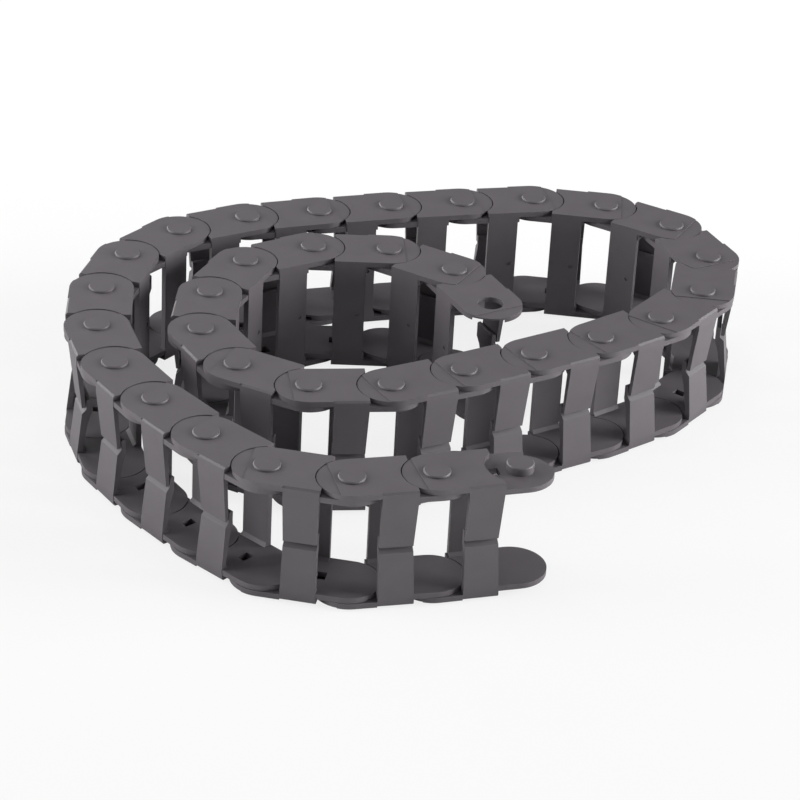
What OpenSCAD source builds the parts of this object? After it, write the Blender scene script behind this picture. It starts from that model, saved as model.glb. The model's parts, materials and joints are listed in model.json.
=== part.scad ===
// Cable drag chain with press-in crossbars, laid on its side in an inward spiral.
//
// Every link is one moulding: two side walls, a plain crossbar on the inside of the bend and a
// split crossbar on the outside, through which the cables are pressed in.
// In a link's own axes its pins stand at x = 0 and its holes lie at x = pitch, +Y points to the
// outside of the bend, and the hinge axes run along Z. The next link's pins snap into the holes.

/* [Link] */
// Distance from one hinge to the next
pitch = 30.5; // [30:0.5:32]
// Height of a side wall, across the bend
wall_h = 25; // [24:0.5:26]
// Clear width for the cables, between the tongues
inner_w = 38; // [24:1:60]
// Thickness of each layer of a side wall
wall_t = 2.2; // [1.8:0.1:2.6]

/* [Hinge] */
// Diameter of the hinge pins
pin_d = 10; // [9:0.2:10.6]
// Height of a pin above the outside of the wall that it holds
pin_proud = 0.9; // [0.6:0.1:1.2]
// Largest bend of one hinge, where its stop meets
max_bend = 37; // [37:1:40]

/* [Crossbars] */
// Width of the split crossbar at its roots, along the chain
bar_w = 13.2; // [11:0.2:13.4]
// Thickness of a crossbar, across the bend
bar_t = 2.1; // [1.6:0.1:2.4]
// How far the split crossbar leans inward at mid-width
bar_lean = 2.1; // [1:0.1:2.4]

/* [Lay] */
// Share of each resting bend: 1 is the coil, 0 lays the chain out straight
coil = 1; // [0:0.05:1]

/* [Hidden] */
// The lay, from the free pins to the free holes: [hinges in the run, bend of each in degrees]
LAY = [
    [1, 3], [1, 23], [1, 31], [2, 7], [3, 16], [2, 24], [1, 11],
    [3, 2], [1, 18], [1, 24], [2, 34], [1, 28], [1, 16], [1, 6],
    [2, 2], [1, 21], [3, 33], [1, 21], [1, 36], [1, 29], [2, 32]
];
first_heading = -164;
bends = [for (run = LAY) for (hinge = [1:run[0]]) run[1]];
links = len(bends) + 1;

// Running clearances: pin in hole, layer on layer, and round end in its hollow
pin_fit = 0.08;
layer_gap = 0.1;
end_gap = 0.4;
// Overlap that makes two shapes of one moulding meet
weld = 0.02;

pin_r = pin_d / 2;
hole_r = pin_r + pin_fit;
end_r = wall_h / 2;
tongue_inset = 0.2;
tongue_r = end_r - tongue_inset;

// Distances from the mid-plane of the link, out to each face of a side wall
tongue_in = inner_w / 2;
tongue_out = tongue_in + wall_t;
plate_in = tongue_out + layer_gap;
plate_out = plate_in + wall_t;
pin_top = plate_out + pin_proud;

// Crossbars
bar_start = 0.35 * wall_h;
bar_end = bar_start + bar_w;
bar_taper = [0.8, 0.2];
inner_bar_inset = [0.2, 0.7];
bar_gusset = 1.2;
shoulder = 0.7;
split_gap = 2.5;
lip_rise = 3.4;
lip_t = 1.8;
lip_fit = 0.3;
hook_foot = 7;
gate_r = 0.9;
gate_depth = 0.4;
gate_x = 0.6 * pitch;

// Stops: a tab fills a segment of each hole, and two flats on the pin meet it at each end of the bend
tab_t = 0.45 * wall_t;
tab_fit = 0.15;
tab_angle = 240;
tab_edge = 0.46 * pin_r;
flat_edge = 0.42 * pin_r;
stop_slack = 0.3;
stop_play = acos(flat_edge / pin_r) - acos(tab_edge / pin_r) - stop_slack;

// Lead-in for pressing a pin in, step on the round end, and cut-outs in the tongue
pin_chamfer = 0.4;
lead_angle = -32;
lead_side = 1.3; // the lead-in ramp's width beyond the pin, on each side
lead_w = pin_d + 2 * lead_side;
lip_edge = 0.4; // chamfer along the lip's top edges
lead_depth = 0.62 * wall_t;
step_x = 0.63 * pin_d;
step_skew = 3;
step_depth = 0.25;
window_x = [0.31 * wall_h, 0.45 * wall_h];
window_w = 4.8;
rim_from = 180;
rim_to = 248;
rim_r = 0.71 * end_r;
rim_depth = 0.55 * wall_t;

// The lay of the chain
function turned(i) = i < 2 ? 0 : turned(i - 1) + coil * bends[i - 2];
function heading(i) = first_heading - turned(i);
function toward(angle) = [cos(angle), sin(angle)];
function pin_at(i) = i < 2 ? [0, 0] : pin_at(i - 1) + pitch * toward(heading(i - 1));
function in_link(i, at) = pin_at(i) + at[0] * toward(heading(i)) + at[1] * toward(heading(i) + 90);
function number(i) = str(i < 10 ? "0" : "", i);
function link_name(i) = str("link_", number(i));

// The plan corners and round ends of every link give the box that the origin is centred on
pins = [for (i = [1:links]) pin_at(i)];
holes = [for (i = [1:links]) in_link(i, [pitch, 0])];
corners = [for (i = [1:links]) for (x = [bar_start, pitch]) for (s = [-1, 1]) in_link(i, [x, s * end_r])];
function low(axis) = min([
    for (p = pins) p[axis] - tongue_r,
    for (p = holes) p[axis] - end_r,
    for (p = corners) p[axis]
]);
function high(axis) = max([
    for (p = pins) p[axis] + tongue_r,
    for (p = holes) p[axis] + end_r,
    for (p = corners) p[axis]
]);
centre = [(low(0) + high(0)) / 2, (low(1) + high(1)) / 2];

$fn = 96;

// Both side walls are the same shape, mirrored about the mid-plane
module both_sides() {
    for (side = [0, 1]) mirror([0, 0, side]) children();
}

// Outline of the outer layer: round about the hole, hollowed about the pin
module plate_outline() {
    difference() {
        union() {
            translate([pitch, 0]) circle(r = end_r);
            translate([bar_start, -end_r]) square([pitch - bar_start, wall_h]);
        }
        circle(r = end_r + end_gap);
    }
}

// Outline of the inner layer: round about the pin, hollowed about the hole
module tongue_outline() {
    difference() {
        union() {
            circle(r = tongue_r);
            translate([0, -tongue_r]) square([bar_end, 2 * tongue_r]);
        }
        translate([pitch, 0]) circle(r = tongue_r + end_gap);
    }
}

// Shallow step across the round end, just past the hole
module end_step() {
    translate([pitch, 0, plate_out - step_depth])
        rotate(step_skew)
            translate([step_x, -wall_h, 0]) cube([wall_h, 2 * wall_h, wall_t]);
}

// Ramp under the round end, along which the next link's pin is pressed in
module lead_in() {
    run = end_r - pin_r;
    translate([pitch, 0, plate_in])
        rotate(lead_angle)
            translate([pin_r, 0, 0])
                rotate([0, -atan(lead_depth / run), 0])
                    translate([0, -lead_w / 2, -wall_t]) cube([2 * run, lead_w, wall_t]);
}

module plate() {
    difference() {
        translate([0, 0, plate_in]) linear_extrude(wall_t) plate_outline();
        translate([pitch, 0, plate_in - wall_t]) cylinder(r = hole_r, h = 3 * wall_t);
        end_step();
        lead_in();
    }
}

// Segment of the hole, on the inner face only, that the flats on the pin turn against
module stop_tab() {
    intersection() {
        translate([pitch, 0, plate_in]) cylinder(r = hole_r + weld, h = tab_t);
        translate([pitch, 0, plate_in])
            rotate(tab_angle)
                translate([tab_edge, -wall_h, 0]) cube([wall_h, 2 * wall_h, tab_t]);
    }
}

// Thinner part of the tongue's rim
module rim_recess() {
    translate([0, 0, tongue_out - rim_depth])
        difference() {
            linear_extrude(wall_t)
                polygon([[0, 0],
                    for (a = [rim_from, (rim_from + rim_to) / 2, rim_to]) 2 * end_r * toward(a)]);
            cylinder(r = rim_r, h = 2 * wall_t, center = true);
        }
}

module tongue() {
    difference() {
        translate([0, 0, tongue_in]) linear_extrude(wall_t) tongue_outline();
        translate([window_x[0], -window_w / 2, 0])
            cube([window_x[1] - window_x[0], window_w, 2 * tongue_out]);
        rim_recess();
    }
}

// Where the two layers lie on each other they are one wall
module layer_weld() {
    translate([0, 0, tongue_out - weld])
        linear_extrude(layer_gap + 2 * weld)
            intersection() {
                plate_outline();
                tongue_outline();
            }
}

module pin() {
    height = pin_top - tongue_out + weld;
    flat_h = layer_gap + tab_t + tab_fit;
    translate([0, 0, tongue_out - weld])
        difference() {
            rotate_extrude()
                polygon([
                    [0, 0], [pin_r, 0], [pin_r, height - pin_chamfer],
                    [pin_r - pin_chamfer, height], [0, height]
                ]);
            for (turn = [stop_play, max_bend - stop_play])
                rotate(tab_angle + turn)
                    translate([flat_edge, -wall_h, weld]) cube([wall_h, 2 * wall_h, flat_h]);
        }
}

// Bar along the chain whose section is given across the bend and across the width
module bar(from, to, section) {
    translate([from, 0, 0]) rotate([90, 0, 90]) linear_extrude(to - from) polygon(section);
}

// Tapers the split crossbar a little towards mid-width
module taper() {
    translate([0, wall_h, 0])
        rotate([90, 0, 0])
            linear_extrude(2 * wall_h)
                polygon([
                    [bar_start, -plate_out], [bar_end, -plate_out], [bar_end - bar_taper[1], 0],
                    [bar_end, plate_out], [bar_start, plate_out], [bar_start + bar_taper[0], 0]
                ]);
}

// Plain crossbar on the inside of the bend, with the mark of the moulding gate
module inner_bar() {
    face = -end_r;
    back = face + bar_t;
    difference() {
        bar(bar_start + inner_bar_inset[0], bar_end - inner_bar_inset[1], [
            [face, -plate_out], [back, -plate_out], [back, -tongue_in], [back + bar_gusset, -tongue_in],
            [back, bar_gusset - tongue_in], [back, tongue_in - bar_gusset], [back + bar_gusset, tongue_in],
            [back, tongue_in], [back, plate_out], [face, plate_out]
        ]);
        translate([gate_x, face, 0]) rotate([90, 0, 0])
            cylinder(r = gate_r, h = 2 * gate_depth, center = true);
    }
}

// Half of the outer crossbar that ends at mid-width, in front of the lip
module pressed_half() {
    face = end_r;
    tip = face - bar_lean;
    bar(bar_start, bar_end, [
        [face, plate_out - shoulder], [face, tongue_in], [tip, 0], [tip - bar_t + 2 * lip_fit, 0],
        [face - bar_t, tongue_in - bar_gusset], [face - bar_t - bar_gusset, tongue_in],
        [face - bar_t, tongue_in], [face - bar_t, plate_out - shoulder]
    ]);
}

// Half of the outer crossbar that carries the hooked lip
module lip_half() {
    face = end_r;
    tip = face - bar_lean;
    lip = tip - bar_t + lip_fit;
    back = lip - lip_t;
    bar(bar_start, bar_end, [
        [face, shoulder - plate_out], [face, -tongue_in], [tip, -split_gap], [lip, -split_gap / 3],
        [lip, lip_rise - lip_edge], [lip - lip_edge, lip_rise],
        [back + lip_edge, lip_rise], [back, lip_rise - lip_edge],
        [back, -split_gap], [tip - bar_t, -hook_foot], [face - bar_t, bar_gusset - tongue_in],
        [face - bar_t - bar_gusset, -tongue_in], [face - bar_t, -tongue_in],
        [face - bar_t, shoulder - plate_out]
    ]);
}

// Bevel along the outside edge of the plate, over the crossbar
module shoulder_bevel() {
    translate([bar_start - weld, end_r, plate_out - shoulder])
        rotate([45, 0, 0])
            cube([bar_w + 2 * weld, wall_t, wall_t]);
}

module side_wall() {
    difference() {
        union() {
            plate();
            tongue();
            layer_weld();
            stop_tab();
            pin();
        }
        shoulder_bevel();
    }
}

// One moulded link, its mid-plane on z = 0
module moulding() {
    both_sides() side_wall();
    inner_bar();
    intersection() {
        union() {
            pressed_half();
            lip_half();
        }
        taper();
    }
}

// Link number i where it lies in the chain, standing on the faces of its pins
module link(i) {
    at = pin_at(i) - centre;
    color("#454146")
        translate([at[0], at[1], pin_top])
            rotate(heading(i))
                moulding();
}

for (i = [1:links])
    link(i);
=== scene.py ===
"""Cable drag chain: rounds and finishes the moulded links, and sets up a small studio."""

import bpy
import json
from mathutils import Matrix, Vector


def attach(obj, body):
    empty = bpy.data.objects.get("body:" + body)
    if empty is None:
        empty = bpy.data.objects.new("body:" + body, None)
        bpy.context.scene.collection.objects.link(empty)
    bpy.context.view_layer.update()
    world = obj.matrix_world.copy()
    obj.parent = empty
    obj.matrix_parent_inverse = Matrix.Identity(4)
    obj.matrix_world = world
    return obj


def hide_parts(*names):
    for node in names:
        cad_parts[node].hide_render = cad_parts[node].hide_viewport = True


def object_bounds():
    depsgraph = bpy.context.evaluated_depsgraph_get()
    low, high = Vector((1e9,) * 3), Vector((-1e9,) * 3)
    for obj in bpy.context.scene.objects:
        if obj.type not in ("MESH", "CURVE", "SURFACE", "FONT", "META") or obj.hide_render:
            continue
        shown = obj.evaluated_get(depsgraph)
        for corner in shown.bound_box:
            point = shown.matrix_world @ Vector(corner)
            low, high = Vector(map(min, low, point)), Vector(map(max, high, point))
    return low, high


bl_info = {
    "name": "Cable Drag Chain",
    "version": (1, 0, 0),
    "blender": (4, 5, 0),
    "location": "View3D > Sidebar > Drag Chain",
    "description": "Dresses the links of a cable drag chain as moulded nylon",
    "category": "Object",
}

import json
import math

import bpy
from bpy.props import (
    FloatProperty,
    FloatVectorProperty,
    IntProperty,
    PointerProperty,
    StringProperty,
)
from mathutils import Matrix, Vector

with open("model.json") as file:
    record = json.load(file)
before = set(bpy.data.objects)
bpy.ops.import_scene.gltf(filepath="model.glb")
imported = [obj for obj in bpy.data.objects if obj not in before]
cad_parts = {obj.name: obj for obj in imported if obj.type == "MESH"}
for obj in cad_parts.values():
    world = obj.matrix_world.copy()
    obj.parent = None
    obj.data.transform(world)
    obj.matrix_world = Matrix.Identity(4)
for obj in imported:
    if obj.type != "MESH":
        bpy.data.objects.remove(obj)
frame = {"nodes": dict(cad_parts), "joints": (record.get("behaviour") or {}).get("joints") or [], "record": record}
CAD_BOX = [list(corner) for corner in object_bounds()]
MM = 0.001

# The link's mesh: points nearer than this are one, faces flatter than this are joined,
# and edges sharper than this are rounded
WELD_DISTANCE = 0.002 * MM
FLAT_ANGLE = math.radians(0.5)
ROUNDED_ANGLE = math.radians(25)

# The nylon's patterns
PATCH_SIZE = 12 * MM
GRAIN_SIZE = 0.4 * MM
GRAIN_DEPTH = 0.03 * MM

# Sockets of the Mix node when it mixes colours
MIX_FIRST, MIX_SECOND, MIX_RESULT = 6, 7, 2

# The studio: each soft box's name, place and side in metres, and power in watts
SOFT_BOXES = (
    ("Overhead soft box", (-0.2, 0.2, 1.3), 1.2, 3.2),
    ("Back left soft box", (-0.9, 1.0, 0.5), 0.8, 8.5),
    ("Left soft box", (-1.4, -0.1, 0.4), 0.8, 21.0),
    ("Right soft box", (1.4, 0.0, 0.4), 0.8, 34.0),
)
AIR_LIGHT = 0.26
FLOOR_SIDE = 12.0
FLOOR_LIFT = 0.8
SENSOR_WIDTH = 36.0
VIEW_LIMIT = 50.0
WHITE = (1.0, 1.0, 1.0, 1.0)


# Places read from the frame

def joint_places():
    """Each link's pin axis, then the last link's hole axis, in chain order."""
    mounts = {mount["name"]: mount for mount in frame["record"]["mounts"]}
    hinges = sorted(frame["joints"], key=lambda joint: joint["name"])
    ends = [mounts["free_pin_top"], mounts["free_hole_top"]]
    stops = [ends[0]["pos_m"]] + [hinge["pos_m"] for hinge in hinges] + [ends[1]["pos_m"]]
    return [Vector((stop[0], stop[1], 0.0)) for stop in stops]


PLACES = joint_places()
LINK_NAMES = sorted(frame["nodes"])
MID_HEIGHT = CAD_BOX[1][2] / 2


def link_placement(index):
    """Turns a link's own axes, pin at the origin and hole along +X, into the frame's."""
    pin, hole = PLACES[index], PLACES[index + 1]
    turn = math.atan2(hole.y - pin.y, hole.x - pin.x)
    return Matrix.Translation((pin.x, pin.y, MID_HEIGHT)) @ Matrix.Rotation(turn, 4, "Z")


# Settings that a user would change

class DragChainLinkSettings(bpy.types.PropertyGroup):
    edge_round: FloatProperty(
        name="Edge Rounding",
        description="Width of the rounding that the mould leaves on every edge",
        default=0.22 * MM,
        min=0.0,
        max=0.4 * MM,
        unit="LENGTH",
        precision=5,
    )
    edge_steps: IntProperty(
        name="Rounding Steps",
        description="Number of faces across each rounded edge",
        default=2,
        min=1,
        max=4,
    )
    nylon_colour: StringProperty(
        name="Nylon Colour",
        description="Colour of the glass-filled nylon, as sRGB hex",
        default="#524E52",
    )
    bloom_colour: StringProperty(
        name="Bloom Colour",
        description="Colour of the paler patches that glass fibres leave, as sRGB hex",
        default="#5E5A5E",
    )


class DragChainStageSettings(bpy.types.PropertyGroup):
    camera_place: FloatVectorProperty(
        name="Camera Place",
        description="Where the camera stands",
        default=(-4.644 * MM, -982.367 * MM, 572.07 * MM),
        subtype="TRANSLATION",
    )
    camera_tilt: FloatProperty(
        name="Tilt",
        description="How far the camera looks down",
        default=math.radians(29.608),
        subtype="ANGLE",
    )
    camera_turn: FloatProperty(
        name="Turn",
        description="How far the camera turns left from looking straight ahead",
        default=math.radians(-0.164),
        subtype="ANGLE",
    )
    camera_roll: FloatProperty(
        name="Roll",
        description="How far the camera leans to its left",
        default=math.radians(3.121),
        subtype="ANGLE",
    )
    lens: FloatProperty(
        name="Lens",
        description="Focal length, in millimetres",
        default=130.54,
        min=1.0,
    )
    floor_colour: StringProperty(
        name="Floor Colour",
        description="Colour of the floor, as sRGB hex",
        default="#F4F4F4",
    )


# Materials

def linear(hex_colour):
    """Linear RGBA of an sRGB hex colour."""
    values = [int(hex_colour[place:place + 2], 16) / 255 for place in (1, 3, 5)]
    return [v / 12.92 if v <= 0.04045 else ((v + 0.055) / 1.055) ** 2.4 for v in values] + [1.0]


def add_node(tree, kind, links=None, values=None, **settings):
    """Adds a node, sets its properties and socket values, and links sockets to it."""
    node = tree.nodes.new(kind)
    for name, value in settings.items():
        setattr(node, name, value)
    for name, value in (values or {}).items():
        node.inputs[name].default_value = value
    for name, source in (links or {}).items():
        tree.links.new(source, node.inputs[name])
    return node


def new_material(name):
    """An empty node material and its tree."""
    material = bpy.data.materials.new(name)
    material.use_nodes = True
    material.node_tree.nodes.clear()
    return material, material.node_tree


def glass_filled_nylon(settings):
    """Injection-moulded PA6 with glass fibre, from a spark-eroded mould.

    The erosion leaves a fine even grain that scatters the gloss, and the fibres near
    the skin give faint paler patches."""
    material, tree = new_material("Glass-filled nylon, moulded")
    place = add_node(tree, "ShaderNodeTexCoord").outputs["Object"]
    patches = add_node(
        tree, "ShaderNodeTexNoise",
        links={"Vector": place},
        values={"Scale": 1 / PATCH_SIZE, "Detail": 4.0, "Roughness": 0.6},
    )
    colour = add_node(
        tree, "ShaderNodeMix", links={"Factor": patches.outputs["Fac"]}, data_type="RGBA",
    )
    colour.inputs[MIX_FIRST].default_value = linear(settings.nylon_colour)
    colour.inputs[MIX_SECOND].default_value = linear(settings.bloom_colour)
    # The mould's real grain is about 0.1 mm, which is too fine to show
    grain = add_node(
        tree, "ShaderNodeTexNoise",
        links={"Vector": place}, values={"Scale": 1 / GRAIN_SIZE, "Detail": 2.0},
    )
    bump = add_node(
        tree, "ShaderNodeBump",
        links={"Height": grain.outputs["Fac"]},
        values={"Strength": 0.35, "Distance": GRAIN_DEPTH},
    )
    shader = add_node(
        tree, "ShaderNodeBsdfPrincipled",
        links={"Base Color": colour.outputs[MIX_RESULT], "Normal": bump.outputs["Normal"]},
        values={"Roughness": 0.48, "IOR": 1.53, "Metallic": 0.0},
    )
    add_node(tree, "ShaderNodeOutputMaterial", links={"Surface": shader.outputs["BSDF"]})
    return material


def studio_floor(settings):
    """Matt white paper, lifted towards white where the camera sees it directly."""
    material, tree = new_material("White paper sweep")
    paper = add_node(
        tree, "ShaderNodeBsdfDiffuse",
        values={"Color": linear(settings.floor_colour), "Roughness": 1.0},
    )
    glow = add_node(tree, "ShaderNodeEmission", values={"Color": WHITE, "Strength": 1.0})
    rays = add_node(tree, "ShaderNodeLightPath")
    lift = add_node(
        tree, "ShaderNodeMath",
        links={0: rays.outputs["Is Camera Ray"]}, values={1: FLOOR_LIFT}, operation="MULTIPLY",
    )
    mixed = add_node(
        tree, "ShaderNodeMixShader",
        links={0: lift.outputs[0], 1: paper.outputs[0], 2: glow.outputs[0]},
    )
    add_node(tree, "ShaderNodeOutputMaterial", links={"Surface": mixed.outputs[0]})
    return material


# Modelling helpers

def deselect_all():
    """Leaves nothing selected."""
    if bpy.context.object and bpy.context.object.mode != "OBJECT":
        bpy.ops.object.mode_set(mode="OBJECT")
    bpy.ops.object.select_all(action="DESELECT")


def make_active(piece):
    """Selects one piece only."""
    deselect_all()
    piece.select_set(True)
    bpy.context.view_layer.objects.active = piece


def apply_modifier(piece, kind, **settings):
    """Adds a modifier with these settings and applies it."""
    make_active(piece)
    modifier = piece.modifiers.new(kind.title(), kind)
    for name, value in settings.items():
        setattr(modifier, name, value)
    bpy.ops.object.modifier_apply(modifier=modifier.name)


def moulded_link(settings):
    """The first link's solid in its own axes, merged, with every edge rounded."""
    source = frame["nodes"][LINK_NAMES[0]]
    piece = source.copy()
    piece.data = source.data.copy()
    piece.name = "moulded_link"
    piece.parent = None
    bpy.context.scene.collection.objects.link(piece)
    piece.matrix_world = Matrix.Identity(4)
    piece.data.transform(link_placement(0).inverted())
    make_active(piece)
    bpy.ops.object.mode_set(mode="EDIT")
    bpy.ops.mesh.select_all(action="SELECT")
    bpy.ops.mesh.remove_doubles(threshold=WELD_DISTANCE)
    bpy.ops.mesh.dissolve_limited(angle_limit=FLAT_ANGLE)
    bpy.ops.object.mode_set(mode="OBJECT")
    bpy.ops.object.shade_smooth()
    apply_modifier(
        piece, "BEVEL",
        width=settings.edge_round, segments=settings.edge_steps, limit_method="ANGLE",
        angle_limit=ROUNDED_ANGLE, use_clamp_overlap=True, miter_outer="MITER_ARC",
        harden_normals=True,
    )
    apply_modifier(piece, "WEIGHTED_NORMAL", mode="FACE_AREA", weight=100, keep_sharp=True)
    return piece


# Operators

class DRAGCHAIN_OT_links(bpy.types.Operator):
    """Round the edges of one moulded link and set a copy of it in every link's place"""

    bl_idname = "dragchain.links"
    bl_label = "Moulded Links"

    def execute(self, context):
        settings = context.scene.drag_chain_links
        master = moulded_link(settings)
        nylon = glass_filled_nylon(settings)
        master.data.materials.clear()
        master.data.materials.append(nylon)
        for index, name in enumerate(LINK_NAMES):
            piece = master.copy()
            piece.data = master.data.copy()
            piece.name = "moulded_" + name
            context.scene.collection.objects.link(piece)
            piece.data.transform(link_placement(index))
            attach(piece, name)
            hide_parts(name)
        bpy.data.objects.remove(master)
        return {"FINISHED"}


class DRAGCHAIN_OT_stage(bpy.types.Operator):
    """Set the floor, the soft lights and the camera"""

    bl_idname = "dragchain.stage"
    bl_label = "Studio"

    def add_lamp(self, context, name, place, size, power):
        """A square soft box at a place, turned to the middle of the coil."""
        lamp = bpy.data.lights.new(name, "AREA")
        lamp.shape = "SQUARE"
        lamp.size = size
        lamp.energy = power
        box = bpy.data.objects.new(name, lamp)
        context.scene.collection.objects.link(box)
        box.location = place
        aim = Vector((0, 0, MID_HEIGHT)) - Vector(place)
        box.rotation_euler = aim.to_track_quat("-Z", "Y").to_euler()

    def execute(self, context):
        settings = context.scene.drag_chain_stage
        scene = context.scene
        deselect_all()
        bpy.ops.mesh.primitive_plane_add(size=FLOOR_SIDE, location=(0, 0, 0))
        floor = context.object
        floor.name = "Floor"
        floor.data.materials.append(studio_floor(settings))

        for soft_box in SOFT_BOXES:
            self.add_lamp(context, *soft_box)

        world = bpy.data.worlds.new("Studio air")
        world.use_nodes = True
        tree = world.node_tree
        tree.nodes.clear()
        rays = add_node(tree, "ShaderNodeLightPath")
        fill = add_node(
            tree, "ShaderNodeBackground", values={"Color": WHITE, "Strength": AIR_LIGHT},
        )
        backdrop = add_node(
            tree, "ShaderNodeBackground", values={"Color": WHITE, "Strength": 1.0},
        )
        mixed = add_node(
            tree, "ShaderNodeMixShader",
            links={0: rays.outputs["Is Camera Ray"], 1: fill.outputs[0], 2: backdrop.outputs[0]},
        )
        add_node(tree, "ShaderNodeOutputWorld", links={"Surface": mixed.outputs[0]})
        scene.world = world

        lens = bpy.data.cameras.new("Camera")
        lens.lens = settings.lens
        lens.sensor_width = SENSOR_WIDTH
        lens.clip_end = VIEW_LIMIT
        camera = bpy.data.objects.new("Camera", lens)
        scene.collection.objects.link(camera)
        camera.matrix_world = (
            Matrix.Translation(settings.camera_place)
            @ Matrix.Rotation(settings.camera_turn, 4, "Z")
            @ Matrix.Rotation(math.pi / 2 - settings.camera_tilt, 4, "X")
            @ Matrix.Rotation(settings.camera_roll, 4, "Z")
        )
        scene.camera = camera
        scene.view_settings.view_transform = "Standard"
        return {"FINISHED"}


class DRAGCHAIN_PT_panel(bpy.types.Panel):
    """Lists the settings and the steps"""

    bl_label = "Cable Drag Chain"
    bl_idname = "DRAGCHAIN_PT_panel"
    bl_space_type = "VIEW_3D"
    bl_region_type = "UI"
    bl_category = "Drag Chain"

    def draw(self, context):
        layout = self.layout
        for settings in (context.scene.drag_chain_links, context.scene.drag_chain_stage):
            for name in settings.__annotations__:
                layout.prop(settings, name)
        for operator in OPERATORS:
            layout.operator(operator.bl_idname)


OPERATORS = (DRAGCHAIN_OT_links, DRAGCHAIN_OT_stage)
CLASSES = (DragChainLinkSettings, DragChainStageSettings) + OPERATORS + (DRAGCHAIN_PT_panel,)


def register():
    for cls in CLASSES:
        bpy.utils.register_class(cls)
    bpy.types.Scene.drag_chain_links = PointerProperty(type=DragChainLinkSettings)
    bpy.types.Scene.drag_chain_stage = PointerProperty(type=DragChainStageSettings)


def unregister():
    del bpy.types.Scene.drag_chain_stage
    del bpy.types.Scene.drag_chain_links
    for cls in reversed(CLASSES):
        bpy.utils.unregister_class(cls)


def main():
    register()
    bpy.ops.dragchain.links()
    bpy.ops.dragchain.stage()


if __name__ == "__main__":
    main()
